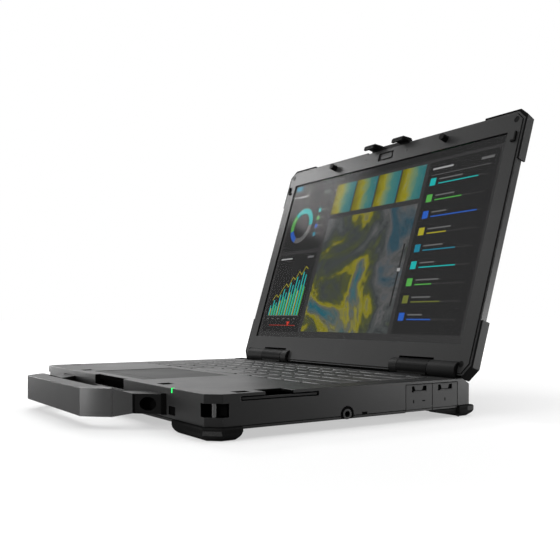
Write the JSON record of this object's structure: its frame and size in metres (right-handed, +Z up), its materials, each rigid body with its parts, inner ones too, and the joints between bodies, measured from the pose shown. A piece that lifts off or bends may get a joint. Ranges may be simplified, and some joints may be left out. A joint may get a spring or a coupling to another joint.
{
  "type": "laptop computer",
  "caption": "Rugged notebook computer standing open, with a rigid carry handle in front, rubber feet and corner bumpers, a top latch and doors over its ports.",
  "frame": {"origin": "on the table under the middle of the open computer: the middle of its width and of its whole depth, at the soles of the feet", "axes": "X runs to the user's right, Y away from the user towards the lid's back, Z up"},
  "size_m": [0.344, 0.3258, 0.2416],
  "materials": {
    "case_metal": "satin dark grey paint on a light metal casting",
    "cover_metal": "satin near-black paint",
    "handle_metal": "satin dark grey paint",
    "bezel_plastic": "fine matt grain",
    "black_plastic": "matt black",
    "hinge_metal": "satin black paint",
    "touch_surface": "smooth matt",
    "rubber": "moulded rubber with a fine grain",
    "steel": "plain steel",
    "copper": "plain copper alloy",
    "board": "green solder mask",
    "green_light": "clear green light pipe",
    "glass": "clear cover glass",
    "panel": "lit picture, behind the glass",
    "keys": "moulded key caps with pale numerals"
  },
  "bodies": {
    "base": {"base_frame": "case_metal", "bottom_cover": "cover_metal", "keyboard_tray": "black_plastic", "touchpad": "touch_surface", "carry_handle": "handle_metal", "handle_bolts": "steel", "foot_front_left": "rubber", "foot_front_right": "rubber", "foot_rear_left": "rubber", "foot_rear_right": "rubber", "strap_posts": "steel", "hinge_bracket_left": "hinge_metal", "hinge_bracket_right": "hinge_metal", "battery_pack": "black_plastic", "main_board": "board", "fan_housing": "black_plastic", "heat_sink": "copper", "ssd_module": "board", "memory_module": "board", "wireless_card": "board", "speakers": "black_plastic", "card_reader": "steel", "audio_jack": "black_plastic", "port_block": "steel", "power_jack": "black_plastic", "status_leds": "green_light", "case_screws": "steel", "door_pins": "steel"},
    "lid": {"lid_shell": "case_metal", "screen_bezel": "bezel_plastic", "display_glass": "glass", "lcd_panel": "panel", "bumper_top_left": "rubber", "bumper_top_right": "rubber", "bumper_bottom_left": "rubber", "bumper_bottom_right": "rubber", "hinge_cover_left": "black_plastic", "hinge_cover_right": "black_plastic", "hinge_shaft_left": "steel", "hinge_shaft_right": "steel", "camera_module": "board", "lid_locators": "black_plastic", "antennas": "board", "lid_screws": "steel", "latch_pin": "steel"},
    "latch": {"latch_hooks": "hinge_metal"},
    "shutter": {"camera_shutter": "bezel_plastic"},
    "touch_left": {"touch_button_left": "touch_surface"},
    "touch_right": {"touch_button_right": "touch_surface"},
    "power": {"power_button": "black_plastic"},
    "rotor": {"fan_rotor": "black_plastic"},
    "door_front": {"port_door_front": "bezel_plastic"},
    "door_rear": {"port_door_rear": "bezel_plastic"},
    "door_drive": {"drive_door": "bezel_plastic"},
    "keys_1": {"key_row_1": "keys"},
    "keys_2": {"key_row_2": "keys"},
    "keys_3": {"key_row_3": "keys"},
    "keys_4": {"key_row_4": "keys"},
    "keys_5": {"key_row_5": "keys"},
    "keys_6": {"key_row_6": "keys"}
  },
  "joints": [
    {"name": "lid_hinge", "type": "hinge", "parent": "base", "child": "lid", "pos_m": [0, 0.09459, 0.0324], "axis": [1, 0, 0], "range_deg": [-72.85, 107.15]},
    {"name": "latch_turn", "type": "hinge", "parent": "lid", "child": "latch", "pos_m": [0, 0.15697, 0.2325], "axis": [1, 0, 0], "range_deg": [-22, 9], "stiffness_Nm_per_rad": 0.05},
    {"name": "shutter_slide", "type": "slide", "parent": "lid", "child": "shutter", "axis": [1, 0, 0], "range_m": [-0.0042, 0]},
    {"name": "touch_left_press", "type": "slide", "parent": "base", "child": "touch_left", "axis": [0, 0, 1], "range_m": [-0.0005, 0], "stiffness_N_per_m": 150, "springref_m": 0.001},
    {"name": "touch_right_press", "type": "slide", "parent": "base", "child": "touch_right", "axis": [0, 0, 1], "range_m": [-0.0005, 0], "stiffness_N_per_m": 150, "springref_m": 0.001},
    {"name": "power_press", "type": "slide", "parent": "base", "child": "power", "axis": [0, 0, 1], "range_m": [-0.0008, 0], "stiffness_N_per_m": 80, "springref_m": 0.001},
    {"name": "fan_spin", "type": "hinge", "parent": "base", "child": "rotor", "pos_m": [-0.112, 0.03449, 0.0164], "axis": [0, 0, 1], "continuous": true},
    {"name": "door_front_swing", "type": "hinge", "parent": "base", "child": "door_front", "pos_m": [0.1689, 0.04169, 0.0098], "axis": [0, 1, 0], "range_deg": [0, 90]},
    {"name": "door_rear_swing", "type": "hinge", "parent": "base", "child": "door_rear", "pos_m": [0.1689, 0.06699, 0.0098], "axis": [0, 1, 0], "range_deg": [0, 90]},
    {"name": "door_drive_swing", "type": "hinge", "parent": "base", "child": "door_drive", "pos_m": [-0.1689, -0.04651, 0.0098], "axis": [0, -1, 0], "range_deg": [0, 90]},
    {"name": "keys_1_press", "type": "slide", "parent": "base", "child": "keys_1", "axis": [0, 0, 1], "range_m": [-0.0018, 0], "stiffness_N_per_m": 400, "springref_m": 0.001},
    {"name": "keys_2_press", "type": "slide", "parent": "base", "child": "keys_2", "axis": [0, 0, 1], "range_m": [-0.0018, 0], "stiffness_N_per_m": 400, "springref_m": 0.001},
    {"name": "keys_3_press", "type": "slide", "parent": "base", "child": "keys_3", "axis": [0, 0, 1], "range_m": [-0.0018, 0], "stiffness_N_per_m": 400, "springref_m": 0.001},
    {"name": "keys_4_press", "type": "slide", "parent": "base", "child": "keys_4", "axis": [0, 0, 1], "range_m": [-0.0018, 0], "stiffness_N_per_m": 400, "springref_m": 0.001},
    {"name": "keys_5_press", "type": "slide", "parent": "base", "child": "keys_5", "axis": [0, 0, 1], "range_m": [-0.0018, 0], "stiffness_N_per_m": 400, "springref_m": 0.001},
    {"name": "keys_6_press", "type": "slide", "parent": "base", "child": "keys_6", "axis": [0, 0, 1], "range_m": [-0.0018, 0], "stiffness_N_per_m": 400, "springref_m": 0.001}
  ]
}
